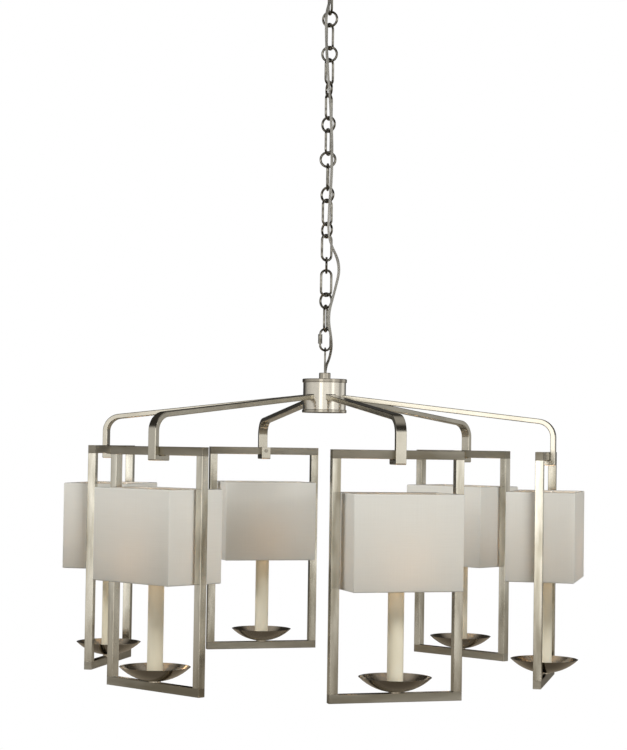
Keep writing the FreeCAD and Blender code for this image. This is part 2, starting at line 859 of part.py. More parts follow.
def make_dishes():
    """Spun bowls: a cap of a sphere on a small foot, with a flat seat for the candle."""
    bore = size("nipple_radius") + size("thread_clear")
    seat = size("bar_side") - size("frame_drop") - size("frame_height")
    floor = seat + size("dish_foot")
    ring = size("dish_foot_radius")
    flat, rim = size("dish_flat"), size("dish_radius")
    skin, deep = size("dish_skin"), size("dish_deep")
    ball = (rim ** 2 + deep ** 2 - flat ** 2) / (2 * deep)
    outer = math.hypot(flat, ball)

    def at(radius, height):
        return V(math.sqrt(radius ** 2 - (ball - height) ** 2), 0, floor + height)

    def arc(radius, start, stop):
        points = [at(radius, height) for height in (start, (start + stop) / 2, stop)]
        return Part.Arc(*points).toShape()

    def line(*points):
        return [Part.LineSegment(a, b).toShape() for a, b in zip(points, points[1:])]

    foot = [V(bore, 0, seat), V(ring, 0, seat), V(ring, 0, floor), at(outer, 0)]
    edges = line(*foot) + [arc(outer, 0, deep)]
    edges += line(at(outer, deep), at(outer - skin, deep)) + [arc(outer - skin, deep, skin)]
    edges += line(at(outer - skin, skin), V(bore, 0, floor + skin), foot[0])
    bowl = Part.Face(Part.Wire(edges)).revolve(V(0, 0, 0), V(0, 0, 1), 360)
    dishes = []
    for k in UNITS:
        turn = math.radians(unit_turn(k))
        dish = bowl.copy()
        dish.translate(V(math.cos(turn), math.sin(turn), 0) * size("frame_radius"))
        dishes.append(dish)
    code_shape("drip_dishes", Part.makeCompound(dishes))


def make_candles():
    inner = "candle_radius - candle_skin"
    corners = [
        (inner, CANDLE_FOOT),
        ("candle_radius", CANDLE_FOOT),
        ("candle_radius", CANDLE_TOP),
        (inner, CANDLE_TOP),
    ]
    group("candle_sleeves", turned_lights("candle_sleeve", corners))
    pipe = [
        ("nipple_bore", SEAT + " - bar_wall"),
        ("nipple_radius", SEAT + " - bar_wall"),
        ("nipple_radius", CANDLE_TOP + " - 54"),
        ("nipple_bore", CANDLE_TOP + " - 54"),
    ]
    group("candle_nipples", turned_lights("candle_nipple", pipe))
    holder = CANDLE_TOP + " - 0.5"
    socket = [
        ("nipple_radius + fit", holder + " - 58"),
        ("9.8", holder + " - 58"),
        ("9.8", holder),
        ("6.3", holder),
        ("6.3", holder + " - 25"),
        ("nipple_bore", holder + " - 25"),
        ("nipple_bore", holder + " - 53"),
        ("nipple_radius + fit", holder + " - 53"),
    ]
    group("lamp_sockets", turned_lights("lamp_socket", socket))


def make_bulbs():
    seat = CANDLE_TOP + " + 0.2"
    skin = "bulb_radius - 1"
    corners = [
        ("0", seat + " + 77"),
        ("3.5", seat + " + 72"),
        ("10", seat + " + 56"),
        ("16.2", seat + " + 38"),
        ("bulb_radius", seat + " + 24"),
        ("15.4", seat + " + 12"),
        ("8.2", seat + " + 2"),
        ("8.2", seat),
        ("5.95", seat),
        ("5.95", seat + " - 20"),
        ("2.5", seat + " - 23"),
        ("0", seat + " - 23"),
        ("0", seat + " + 1"),
        ("7.2", seat + " + 3"),
        ("14.3", seat + " + 12.6"),
        (skin, seat + " + 24"),
        ("15.2", seat + " + 37.6"),
        ("9.2", seat + " + 55"),
        ("2.5", seat + " + 71"),
        ("0", seat + " + 74"),
    ]
    for body in turned_lights("bulb", corners):
        outputs[body.Label] = body


def make_shade(k):
    label = f"shade_{k + 1}"
    body = new_body(label, unit_turn(k))
    sketch = new_sketch(body, "XY_Plane", "Walls", "-frame_drop - shade_drop - shade_high")
    for inset in ("0", "shade_skin"):
        rectangle(
            sketch,
            f"frame_radius - shade_deep / 2 + {inset}", f"-shade_wide / 2 + {inset}",
            f"frame_radius + shade_deep / 2 - {inset}", f"shade_wide / 2 - {inset}",
        )
    pad(body, sketch, "shade_high", name="Walls")
    outputs[label] = body


def wire_rectangle(half_x, half_y, height, corner, radius):
    """A closed rectangle of round wire with rounded corners."""
    edges = []
    for quarter in range(4):
        a, b = (half_x, half_y) if quarter % 2 == 0 else (half_y, half_x)
        start = V(a, -b + corner, height)
        end = V(a, b - corner, height)
        centre = V(a - corner, b - corner, height)
        slant = corner * math.sqrt(0.5)
        bend = centre + V(slant, slant, 0)
        after = V(a - corner, b, height)
        for shape in (Part.LineSegment(start, end), Part.Arc(end, bend, after)):
            edge = shape.toShape()
            edge.rotate(V(0, 0, 0), V(0, 0, 1), 90 * quarter)
            edges.append(edge)
    return tube_along(Part.Wire(Part.__sortEdges__(edges)), radius)


def make_carrier(k):
    """The shade's wire frame: two rectangles, the bulb's ring and four spokes, welded."""
    radius = size("shade_wire") / 2
    inset = size("shade_skin") + radius + 0.15
    half_x = size("shade_deep") / 2 - inset
    half_y = size("shade_wide") / 2 - inset
    top = -size("frame_drop") - size("shade_drop") - radius - 0.6
    low = -size("frame_drop") - size("shade_drop") - size("shade_high") + radius + 0.6
    ring_at = top - 86
    ring_radius = size("bulb_radius") + radius + 0.4
    head = wire_rectangle(half_x, half_y, top, 3, radius)
    foot = wire_rectangle(half_x, half_y, low, 3, radius)
    ring = Part.makeTorus(ring_radius, radius, V(0, 0, ring_at))
    wires = [head, foot, ring]
    for quarter in range(4):
        reach = half_x if quarter % 2 == 0 else half_y
        start = V(reach, 0, top)
        end = V(ring_radius, 0, ring_at)
        spoke = Part.makeCylinder(radius - 0.2, (end - start).Length, start, end - start)
        spoke.rotate(V(0, 0, 0), V(0, 0, 1), 90 * quarter)
        wires.extend(spoke.cut([head, ring]).Solids)
    turn = math.radians(unit_turn(k))
    at = V(math.cos(turn), math.sin(turn), 0) * size("frame_radius")
    code_shape(f"shade_carrier_{k + 1}", Part.makeCompound(wires), about_z(unit_turn(k), at))


# ---------------------------------------------------------------- wiring
def make_leads():
    """A lead in every arm: hub, arm, hook, frame bar, post, bottom bar, candle pipe."""
    side = float(LEAD_SIDE)
    drop = -size("frame_drop")
    rise = drop + size("arm_rise")
    line = size("frame_radius")
    leg = line + size("bar_side") / 2 + size("hook_clear") + size("arm_thick") / 2
    bar = drop - size("bar_side") / 2
    post = (size("frame_width") - size("bar_side")) / 2
    foot = drop - size("frame_height") + size("bar_side") / 2
    corner = slope_height(leg, 0)
    points = [
        V(11, side, rise),
        V(size("arm_level"), side, rise),
        V(leg, side, corner),
        V(leg, side, bar),
        V(line, side, bar),
        V(line, post, bar),
        V(line, post, foot),
        V(line, 0, foot),
        V(line, 0, foot + 60),
    ]
    wire = bent_path(points, [200, size("bend_inside") + 4, 3, 3, 4, 4, 4])
    solids = []
    for k in UNITS:
        lead = tube_along(wire, size("lead_wide") / 2)
        lead.rotate(V(0, 0, 0), V(0, 0, 1), unit_turn(k))
        solids.append(lead)
    code_shape("lead_wires", Part.makeCompound(solids))


def cord_points():
    """The cord's route up the front of the chain, in the row frame."""
    right = V(math.cos(math.radians(size("hang_turn"))), math.sin(math.radians(size("hang_turn"))), 0)
    front = V(right.y, -right.x, 0)
    drop = size("frame_drop")
    neck = size("hub_top") + size("neck_high") - drop
    clear = size("cord_front")
    points = [V(0, 0, neck - 16), V(0, 0, neck + 7)]
    points.append(right * 8 + front * 9 + V(0, 0, neck + 25))
    start = neck + 48
    stop = -112.0
    steps = 13
    for step in range(steps + 1):
        height = start + (stop - start) * step / steps
        up_chain = height - neck
        bulge = size("cord_bulge") * math.exp(-(((up_chain - 158) / 34) ** 2))
        first = 11 * math.exp(-(((up_chain - 52) / 30) ** 2))
        sway = 6.5 * math.sin(math.radians(up_chain * 0.78 + 185)) if up_chain > 250 else 0
        ripple = 1.4 if step % 2 else -0.2
        points.append(right * (bulge + first + sway) + front * (clear + ripple) + V(0, 0, height))
    seat = -size("base_bottom")
    points.append(V(9.4, -11.6, seat - 15.5))
    points.append(V(0, 0, seat - 4))
    points.append(V(0, 0, seat + 7))
    return points


def make_cord():
    points = cord_points()
    radii = free_radii(points)
    wire = bent_path(points, radii)
    cord = tube_along(wire, size("cord_wide") / 2)
    section = math.pi * (size("cord_wide") / 2) ** 2
    share = cord.Volume / (section * wire.Length)
    print(f"cord length {wire.Length:.1f} mm, volume against section x length {share:.4f}")
    print("cord radii", [round(r, 1) for r in radii])
    code_shape("supply_cord", cord)


# ---------------------------------------------------------------- build
def build():
    make_canopy()
    make_crossbar()
    outputs["canopy_nipple"] = turned_tube(
        "canopy_nipple", "nipple_radius", "nipple_bore", "-39.8", "-0.8")
    outputs["canopy_nut"] = hex_nut("canopy_nut", "-8.6", 14.0, 6.0)
    make_swivel_base()
    make_collar()
    make_bail()
    make_bail_pins()
    make_chain()
    make_quick_link()
    make_eye()
    make_neck()
    make_caps()
    make_hub_body()
    make_plate()
    outputs["hub_nipple"] = turned_tube(
        "hub_nipple", "nipple_radius", "nipple_bore",
        up("hub_bottom + 0.6"), up("hub_top + 5.8"))
    plate_top = "arm_rise - arm_thick / 2"
    group("hub_nuts", [
        hex_nut("nut_under_cap", up("hub_top - 3 - 6.05"), 14.0, 6.0),
        hex_nut("nut_over_plate", up(plate_top + " + 0.05"), 14.0, 6.0),
        hex_nut("nut_under_plate", up(plate_top + " - plate_thick - 6.05"), 14.0, 6.0),
        hex_nut("nut_in_bottom", up("hub_bottom + 0.45"), 14.0, 3.5),
    ])
    make_arm_screws()
    for k in UNITS:
        make_arm(k)
        make_frame(k)
        make_shade(k)
        make_carrier(k)
    make_set_screws()
    make_dishes()
    make_candles()
    make_bulbs()
    make_leads()
    make_cord()


def check_document():
    """Every object is sound and every shape is whole."""
    for thing in doc.Objects:
        if "Invalid" in thing.State or "Error" in thing.State:
            raise RuntimeError(f"{thing.Label}: {thing.State}")
        shape = getattr(thing, "Shape", None)
        if shape is None or not thing.isDerivedFrom("Part::Feature"):
            continue
        if shape.isNull() or not shape.isValid():
            raise RuntimeError(f"{thing.Label}: its shape is not sound")


def export():
    os.makedirs("parts", exist_ok=True)
    for label, thing in outputs.items():
        thing.Shape.exportStep(f"parts/{label}.step")


build()
doc.recompute()
check_document()
export()
print(len(outputs), "nodes")
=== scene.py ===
from math import cos, exp, hypot, pi, radians, sin, tau

import bmesh
import bpy
from mathutils import Matrix, Vector


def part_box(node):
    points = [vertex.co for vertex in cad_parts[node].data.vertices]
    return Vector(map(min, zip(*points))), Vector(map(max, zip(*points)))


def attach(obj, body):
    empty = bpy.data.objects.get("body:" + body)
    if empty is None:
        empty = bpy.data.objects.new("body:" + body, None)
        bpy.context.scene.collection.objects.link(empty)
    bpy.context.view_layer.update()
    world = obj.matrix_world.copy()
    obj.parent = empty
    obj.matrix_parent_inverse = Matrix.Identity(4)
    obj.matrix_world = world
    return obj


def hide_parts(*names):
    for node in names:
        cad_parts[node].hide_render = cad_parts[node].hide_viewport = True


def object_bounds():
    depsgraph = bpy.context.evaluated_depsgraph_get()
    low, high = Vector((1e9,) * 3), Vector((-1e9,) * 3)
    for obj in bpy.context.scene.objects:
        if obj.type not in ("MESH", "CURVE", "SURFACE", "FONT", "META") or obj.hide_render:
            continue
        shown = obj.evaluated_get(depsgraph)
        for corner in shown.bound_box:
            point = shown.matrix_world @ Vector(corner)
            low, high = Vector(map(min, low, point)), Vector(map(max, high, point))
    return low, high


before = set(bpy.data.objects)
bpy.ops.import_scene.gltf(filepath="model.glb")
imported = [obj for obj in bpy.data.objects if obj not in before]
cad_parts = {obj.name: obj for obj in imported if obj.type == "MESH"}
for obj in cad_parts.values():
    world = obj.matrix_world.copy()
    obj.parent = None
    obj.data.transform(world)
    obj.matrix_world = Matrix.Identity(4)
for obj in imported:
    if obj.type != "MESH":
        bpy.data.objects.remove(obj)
cad_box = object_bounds()
scene = bpy.context.scene

# six equal lights stand evenly round the hub; where each one faces, in degrees
UNITS = range(1, 7)
FIRST_FACING = -90
FACING_STEP = 60

# the fixture hangs turned by this angle: towards the viewer's right, and towards the viewer
HANG_TURN = radians(-17.3)
RIGHT = Vector((cos(HANG_TURN), sin(HANG_TURN), 0))
FRONT = Vector((RIGHT.y, -RIGHT.x, 0))
UP = Vector((0, 0, 1))

# sizes in metres
BAR_WIDE = 0.0127
SHADE_WIDE, SHADE_DEEP, SHADE_HIGH = 0.163, 0.105, 0.137
SHADE_SKIN = 0.0012
CORD_WIDE = 0.0046

# nearly all values of a noise texture lie between these
NOISE_SPAN = (0.3, 0.7)


# ---------------------------------------------------------------- camera
def make_camera():
    """Level with the frames' tops, looking slightly up and a little left of the chain."""
    distance = 3.043
    above_frames = 0.0064
    pitch = radians(2.087)
    pan = radians(0.34)
    roll = radians(0.87)
    data = bpy.data.cameras.new("camera")
    data.sensor_width = 36
    data.lens = 91.4
    data.clip_end = 100
    camera = bpy.data.objects.new("camera", data)
    scene.collection.objects.link(camera)
    place = FRONT * distance + UP * (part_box("frame_1")[1].z + above_frames)
    aim = Matrix.Rotation(HANG_TURN + pan, 4, "Z") @ Matrix.Rotation(pi / 2 + pitch, 4, "X")
    camera.matrix_world = Matrix.Translation(place) @ aim @ Matrix.Rotation(roll, 4, "Z")
    scene.camera = camera


# ---------------------------------------------------------------- small helpers
def add_object(name, data, material, body):
    """A new piece that rides on a CAD body and takes its finish from a slot."""
    piece = bpy.data.objects.new(name, data)
    scene.collection.objects.link(piece)
    data.materials.append(material)
    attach(piece, body)
    return piece


def finish_mesh(name, bm, crease):
    """A smooth-shaded mesh, where edges sharper than crease degrees stay sharp."""
    mesh = bpy.data.meshes.new(name)
    bmesh.ops.recalc_face_normals(bm, faces=bm.faces)
    bm.to_mesh(mesh)
    bm.free()
    for face in mesh.polygons:
        face.use_smooth = True
    mesh.set_sharp_from_angle(angle=radians(crease))
    return mesh


def add_quad(bm, uv, corners):
    """A face from (vertex, u, v) corners."""
    face = bm.faces.new([vertex for vertex, _, _ in corners])
    for loop, (_, u, v) in zip(face.loops, corners):
        loop[uv].uv = (u, v)


def rotated(x, y, angle):
    """The point (x, y) turned about the origin."""
    return x * cos(angle) - y * sin(angle), x * sin(angle) + y * cos(angle)


def lathe(bm, outline, centre, segments):
    """Turns an outline of (radius, height) points about a vertical line."""
    rings = []
    for radius, height in outline:
        if radius == 0:
            rings.append([bm.verts.new(centre + UP * height)])
            continue
        ring = []
        for step in range(segments):
            angle = tau * step / segments
            ring.append(bm.verts.new(
                centre + Vector((radius * cos(angle), radius * sin(angle), height))))
        rings.append(ring)
    for low, high in zip(rings, rings[1:]):
        for step in range(segments):
            after = (step + 1) % segments
            corners = [low[step % len(low)], low[after % len(low)],
                       high[after % len(high)], high[step % len(high)]]
            corners = list(dict.fromkeys(corners))
            if len(corners) > 2:
                bm.faces.new(corners)


# ---------------------------------------------------------------- materials
class Nodes:
    """A material's or a world's node tree, with short calls for the nodes used here."""

    def __init__(self, name, kind="materials"):
        self.material = getattr(bpy.data, kind).new(name)
        self.material.use_nodes = True
        self.tree = self.material.node_tree
        self.shader = self.tree.nodes.get("Principled BSDF")
        self.output = self.tree.nodes.get("Material Output")

    def add(self, kind, **settings):
        node = self.tree.nodes.new(kind)
        for key, value in settings.items():
            setattr(node, key, value)
        return node

    def link(self, source, target):
        self.tree.links.new(source, target)

    def feed(self, value, socket):
        """Links a node's output to a socket, or sets a plain number or colour on it."""
        if hasattr(value, "links"):
            self.link(value, socket)
        elif isinstance(value, tuple):
            socket.default_value = (*value, 1)
        else:
            socket.default_value = value

    def set(self, **values):
        """Sets the shader's own sockets, such as Coat_Weight=0.8."""
        for key, value in values.items():
            self.shader.inputs[key.replace("_", " ")].default_value = value

    def place(self, scale=(1, 1, 1), source="Object"):
        """Coordinates in metres, scaled."""
        coords = self.add("ShaderNodeTexCoord")
        mapping = self.add("ShaderNodeMapping")
        mapping.inputs["Scale"].default_value = scale
        self.link(coords.outputs[source], mapping.inputs["Vector"])
        return mapping.outputs["Vector"]

    def axes(self, source):
        """The three parts of the coordinates, each as a value."""
        coords = self.add("ShaderNodeTexCoord")
        split = self.add("ShaderNodeSeparateXYZ")
        self.link(coords.outputs[source], split.inputs["Vector"])
        return [split.outputs[axis] for axis in "XYZ"]

    def noise(self, vector, scale, detail):
        node = self.add("ShaderNodeTexNoise")
        node.inputs["Scale"].default_value = scale
        node.inputs["Detail"].default_value = detail
        self.link(vector, node.inputs["Vector"])
        return node.outputs["Fac"]

    def ramp(self, value, stops):
        """Colours at places along a value."""
        node = self.add("ShaderNodeValToRGB")
        while len(node.color_ramp.elements) < len(stops):
            node.color_ramp.elements.new(0.5)
        for element, (position, colour) in zip(node.color_ramp.elements, stops):
            element.position = position
            element.color = (*colour, 1)
        self.link(value, node.inputs["Fac"])
        return node.outputs["Color"]

    def two_tone(self, value, dark, light, span=NOISE_SPAN):
        """From dark to light as the value crosses the span."""
        return self.ramp(value, [(span[0], dark), (span[1], light)])

    def spread(self, value, low, high, span=NOISE_SPAN):
        """From low to high as the value crosses the span, and level outside it."""
        node = self.add("ShaderNodeMapRange")
        node.inputs["From Min"].default_value = span[0]
        node.inputs["From Max"].default_value = span[1]
        node.inputs["To Min"].default_value = low
        node.inputs["To Max"].default_value = high
        self.link(value, node.inputs["Value"])
        return node.outputs["Result"]

    def maths(self, kind, *values):
        node = self.add("ShaderNodeMath", operation=kind)
        for socket, value in zip(node.inputs, values):
            self.feed(value, socket)
        return node.outputs["Value"]

    def blend(self, first, share, second):
        """That share of the first value and the rest of the second."""
        return self.maths("ADD", self.maths("MULTIPLY", first, share),
                          self.maths("MULTIPLY", second, 1 - share))

    def mix(self, share, first, second, kind="RGBA"):
        """The first colour or vector where share is 0, and the second where it is 1."""
        node = self.add("ShaderNodeMix", data_type=kind)
        sockets = {socket.name: socket for socket in node.inputs if socket.enabled}
        self.feed(share, sockets["Factor"])
        self.feed(first, sockets["A"])
        self.feed(second, sockets["B"])
        return [socket for socket in node.outputs if socket.enabled][0]

    def mix_shaders(self, share, first, second):
        node = self.add("ShaderNodeMixShader")
        self.feed(share, node.inputs["Fac"])
        self.link(first, node.inputs[1])
        self.link(second, node.inputs[2])
        return node.outputs["Shader"]

    def bump(self, height, strength, distance):
        node = self.add("ShaderNodeBump")
        node.inputs["Strength"].default_value = strength
        node.inputs["Distance"].default_value = distance
        self.link(height, node.inputs["Height"])
        self.link(node.outputs["Normal"], self.shader.inputs["Normal"])

    def brush(self, level=None):
        """Stretches reflections across the brush marks.

        The marks run level where level is 1, and upright where it is 0. With no
        value they run level everywhere, as on a turned part.
        """
        upright = self.add("ShaderNodeCombineXYZ")
        upright.inputs["Z"].default_value = 1.0
        tangent = upright.outputs["Vector"]
        if level is not None:
            geometry = self.add("ShaderNodeNewGeometry")
            sideways = self.add("ShaderNodeVectorMath", operation="CROSS_PRODUCT")
            self.link(geometry.outputs["Normal"], sideways.inputs[0])
            sideways.inputs[1].default_value = UP
            tangent = self.mix(level, sideways.outputs["Vector"], tangent, "VECTOR")
        self.set(Anisotropic=0.85)
        self.link(tangent, self.shader.inputs["Tangent"])

    def colour(self, source):
        self.link(source, self.shader.inputs["Base Color"])

    def rough(self, source):
        self.link(source, self.shader.inputs["Roughness"])


def brushed_metal(name, light, dark, rough, marks, bump=0.03, clouds=17):
    """Plated metal: soft clouds in the colour, and fine marks at this scale."""
    m = Nodes(name)
    m.set(Metallic=1.0)
    cloud = m.noise(m.place(), clouds, 4)
    streak = m.noise(m.place(marks), 1.0, 2)
    m.colour(m.two_tone(cloud, dark, light))
    m.rough(m.spread(m.blend(cloud, 0.5, streak), *rough))
    m.bump(streak, bump, 0.0001)
    return m


def turned_metal(name, light, dark, rough):
    """Metal polished on a lathe: fine rings round the upright axis."""
    m = brushed_metal(name, light, dark, rough, (6, 6, 1500), bump=0.04)
    m.brush()
    return m


def bar_metal(name, light, dark):
    """Satin nickel on the square bar: brushed and drawn along each bar, upright or level.

    The level bars are rougher than the upright ones, and their colour is painted darker as
    painted shade.
    """
    m = Nodes(name)
    m.set(Metallic=1.0)
    low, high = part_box("frame_1")
    height = m.axes("Object")[2]
    in_top_bar = m.maths("GREATER_THAN", height, high.z - BAR_WIDE)
    in_foot_bar = m.maths("LESS_THAN", height, low.z + BAR_WIDE)
    level = m.maths("ADD", in_top_bar, in_foot_bar)

    def along_bar(fine, coarse, detail):
        """Noise that is fine across each bar and coarse along it."""
        on_upright = m.noise(m.place((fine, fine, coarse)), 1.0, detail)
        on_level = m.noise(m.place((coarse, coarse, fine)), 1.0, detail)
        return m.mix(level, on_upright, on_level)

    grain = along_bar(1600, 14, 2)
    cloud = along_bar(34, 7, 3)
    drawn = along_bar(75, 1.6, 0)
    worn = m.two_tone(cloud, dark, light, (0.36, 0.62))
    # painted shade: the top and foot bars' colour is mixed 40% towards dark brown
    m.colour(m.mix(m.maths("MULTIPLY", level, 0.4), worn, (0.25, 0.225, 0.175)))
    upright_rough = m.spread(m.blend(cloud, 0.55, grain), 0.15, 0.22)
    m.rough(m.maths("ADD", upright_rough, m.maths("MULTIPLY", level, 0.2)))
    m.bump(m.maths("ADD", drawn, m.maths("MULTIPLY", grain, 0.012)), 1.0, 0.0009)
    m.brush(level)
    return m


def cream_sleeve(name):
    """A candle sleeve's painted card, slightly clouded, with a fine level texture."""
    m = Nodes(name)
    cloud = m.noise(m.place((1, 1, 0.35)), 30, 4)
    m.colour(m.two_tone(cloud, (0.74, 0.695, 0.54), (0.82, 0.785, 0.65)))
    m.rough(m.spread(cloud, 0.36, 0.5))
    m.bump(m.noise(m.place((40, 40, 600)), 1.0, 2), 0.05, 0.0003)
    return m


def shade_fabric(name, light, dark, see_through, behind):
    """Plain-woven cloth on a stiff lining, with slubs and a dark line of painted shade along
    its top edge, letting some light through.

    Its UV coordinates are metres round the shade and metres up it.
    """
    m = Nodes(name)
    across, height, _ = m.axes("UV")
    warps_per_metre = 1700
    wefts_per_metre = warps_per_metre * 0.85
    warp = m.maths("SINE", m.maths("MULTIPLY", across, warps_per_metre * tau))
    weft = m.maths("SINE", m.maths("MULTIPLY", height, wefts_per_metre * tau))
    weave = m.maths("MULTIPLY", warp, weft)
    level_slubs = m.noise(m.place((18, 2600, 1), "UV"), 1.0, 3)
    upright_slubs = m.noise(m.place((2600, 14, 1), "UV"), 1.0, 3)
    cloth = m.blend(level_slubs, 0.55, upright_slubs)
    # painted shade: the top millimetre of the cloth is darkened as an unlit rim
    painted_top_shade = m.maths("GREATER_THAN", height, SHADE_HIGH - 0.0009)
    colour = m.mix(m.maths("MULTIPLY", painted_top_shade, 0.8), m.two_tone(cloth, dark, light),
                   (0.1, 0.09, 0.075))
    m.colour(colour)
    m.set(Roughness=0.85, Sheen_Weight=0.25, Sheen_Roughness=0.5, Specular_IOR_Level=0.2)
    m.bump(m.maths("ADD", m.maths("MULTIPLY", weave, 0.35), cloth), 0.12, 0.0002)
    through = m.add("ShaderNodeBsdfTranslucent")
    m.link(m.mix(0.5, colour, behind), through.inputs["Color"])
    m.link(m.mix_shaders(see_through, m.shader.outputs["BSDF"], through.outputs["BSDF"]),
           m.output.inputs["Surface"])
    return m


def moulded(name, light, dark, rough=0.5):
    """Plastic or enamel, faintly clouded and grained."""
    m = Nodes(name)
    cloud = m.noise(m.place(), 60, 4)
    m.colour(m.two_tone(cloud, dark, light))
    m.rough(m.spread(cloud, rough - 0.08, rough + 0.08))
    m.bump(m.noise(m.place(), 900, 2), 0.05, 0.0002)
    return m


def frosted_glass(name):
    """The bulb's envelope: white frosted glass with a faint warm glow."""
    m = Nodes(name)
    cloud = m.noise(m.place(), 90, 3)
    m.colour(m.two_tone(cloud, (0.86, 0.84, 0.8), (0.93, 0.92, 0.89)))
    m.rough(m.spread(cloud, 0.16, 0.28))
    m.set(Emission_Color=(1.0, 0.62, 0.36, 1), Emission_Strength=9.0)
    return m


def cord_skin(name):
    """Clear vinyl over tinned strands, which are twisted and show as slanting lines.

    Its UV coordinates are shares of the way round the cord and metres along it.
    """
    m = Nodes(name)
    around, along, _ = m.axes("UV")
    strands_round, strands_per_metre = 9.0, 420.0
    lay = m.maths("ADD", m.maths("MULTIPLY", around, strands_round),
                  m.maths("MULTIPLY", along, strands_per_metre))
    strand = m.spread(m.maths("SINE", m.maths("MULTIPLY", lay, tau)), 0, 1, (-1, 1))
    cloud = m.noise(m.place(), 120, 3)
    tint = m.mix(strand, (0.07, 0.066, 0.056), (0.5, 0.49, 0.455))
    m.colour(m.mix(m.spread(cloud, 0, 0.3), tint, (0.6, 0.59, 0.56)))
    m.rough(m.spread(cloud, 0.14, 0.3))
    m.set(Metallic=0.85, Coat_Weight=0.8, Coat_Roughness=0.08)
    m.bump(strand, 0.25, 0.0002)
    return m


def make_materials():
    """Every finish, by name. Of two colours the lighter comes first."""
    made = {
        "bars": bar_metal("satin_nickel_bar", (0.8, 0.775, 0.695), (0.38, 0.35, 0.28)),
        "arms": brushed_metal("satin_nickel_arm", (0.68, 0.65, 0.57), (0.52, 0.49, 0.42),
                              (0.13, 0.22), (500, 500, 500)),
        "hub": turned_metal("satin_nickel_hub", (0.86, 0.83, 0.765), (0.78, 0.745, 0.67),
                            (0.17, 0.24)),
        "rims": turned_metal("polished_rim", (0.52, 0.49, 0.43), (0.38, 0.35, 0.3),
                             (0.14, 0.22)),
        "dishes": turned_metal("dish_nickel", (0.68, 0.615, 0.52), (0.48, 0.42, 0.34),
                               (0.13, 0.24)),
        "chain": brushed_metal("polished_chain", (0.42, 0.405, 0.36), (0.07, 0.065, 0.052),
                               (0.04, 0.1), (200, 200, 200), bump=0.08, clouds=160),
        "steel": brushed_metal("zinc_steel", (0.6, 0.6, 0.61), (0.45, 0.45, 0.46),
                               (0.25, 0.4), (150, 150, 150)),
        "canopy": turned_metal("satin_nickel_canopy", (0.72, 0.685, 0.6), (0.61, 0.575, 0.49),
                               (0.36, 0.46)),
        "sleeve": cream_sleeve("cream_sleeve"),
        "socket": moulded("socket_phenolic", (0.86, 0.84, 0.79), (0.78, 0.75, 0.69)),
        "lead": moulded("lead_insulation", (0.87, 0.86, 0.83), (0.76, 0.75, 0.72), 0.4),
        "carrier": moulded("white_enamel_wire", (0.9, 0.89, 0.86), (0.82, 0.81, 0.77), 0.35),
        "glass": frosted_glass("frosted_glass"),
        "brass": turned_metal("bulb_cap_brass", (0.78, 0.66, 0.42), (0.64, 0.52, 0.3),
                              (0.2, 0.35)),
        "fabric": shade_fabric("shade_fabric", (0.75, 0.757, 0.725), (0.685, 0.687, 0.65),
                               see_through=0.28, behind=(0.9, 0.84, 0.75)),
        "cord": cord_skin("cord_skin"),
    }
    return {finish: m.material for finish, m in made.items()}


def dress_cad(materials):
    """Gives the CAD pieces that stay their finishes."""
    finishes = {
        "canopy": ["ceiling_canopy", "swivel_base", "screw_collar", "swivel_bail"],
        "steel": ["canopy_crossbar", "canopy_nipple", "canopy_nut", "bail_pins", "hub_plate",
                  "hub_nipple", "hub_nuts", "arm_screws", "candle_nipples"],
        "chain": ["chain_top_link", "chain_long_links", "chain_rings", "quick_link",
                  "quick_link_sleeve", "hub_eye"],
        "rims": ["hub_top_cap", "hub_bottom_cap", "hub_neck", "set_screws"],
        "hub": ["hub_body"],
        "arms": [f"arm_{k}" for k in UNITS],
        "bars": [f"frame_{k}" for k in UNITS],
        "dishes": ["drip_dishes"],
        "sleeve": ["candle_sleeves"],
        "socket": ["lamp_sockets"],
        "lead": ["lead_wires"],
        "carrier": [f"shade_carrier_{k}" for k in UNITS],
    }
    for finish, nodes in finishes.items():
        for node in nodes:
            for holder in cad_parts[node].material_slots:
                holder.material = materials[finish]


# ---------------------------------------------------------------- supply cord
def hump(height, middle, half_wide):
    """A smooth swelling that is 1 at its middle and dies away on both sides."""
    return exp(-(((height - middle) / half_wide) ** 2))


def cord_points():
    """The route: out of the hub's neck, up the front of the chain, into the ceiling fitting.

    It bows to the right twice above the neck and sways a little higher up, and every
    second point stands slightly further forward.
    """
    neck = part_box("hub_neck")[1].z
    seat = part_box("swivel_base")[0].z
    points = [UP * (neck - 0.016), UP * (neck + 0.007),
              RIGHT * 0.008 + FRONT * 0.009 + UP * (neck + 0.025)]
    start, stop, steps = neck + 0.048, -0.112, 13
    in_front, sway_from = 0.017, 0.25
    for step in range(steps + 1):
        height = start + (stop - start) * step / steps
        up_chain = height - neck
        bow = 0.027 * hump(up_chain, 0.158, 0.034)
        first_bow = 0.011 * hump(up_chain, 0.052, 0.030)
        sway = 0.0065 * sin(radians(up_chain * 780 + 185)) if up_chain > sway_from else 0
        ripple = 0.0014 if step % 2 else -0.0002
        points.append(RIGHT * (bow + first_bow + sway) + FRONT * (in_front + ripple)
                      + UP * height)
    points += [Vector((0.0094, -0.0116, seat - 0.0155)), UP * (seat - 0.004),
               UP * (seat + 0.007)]
    return points


def route_line(points):
    """Even points along the smooth spline that has these control points."""
    curve = bpy.data.curves.new("route", "CURVE")
    curve.dimensions = "3D"
    curve.resolution_u = 14
    spline = curve.splines.new("NURBS")
    spline.points.add(len(points) - 1)
    for control, point in zip(spline.points, points):
        control.co = (*point, 1)
    spline.order_u = 3
    spline.use_endpoint_u = True
    holder = bpy.data.objects.new("route", curve)
    scene.collection.objects.link(holder)
    bpy.context.view_layer.update()
    mesh = bpy.data.meshes.new_from_object(
        holder.evaluated_get(bpy.context.evaluated_depsgraph_get()))
    line = [vertex.co.copy() for vertex in mesh.vertices]
    bpy.data.objects.remove(holder)
    bpy.data.curves.remove(curve)
    bpy.data.meshes.remove(mesh)
    return line


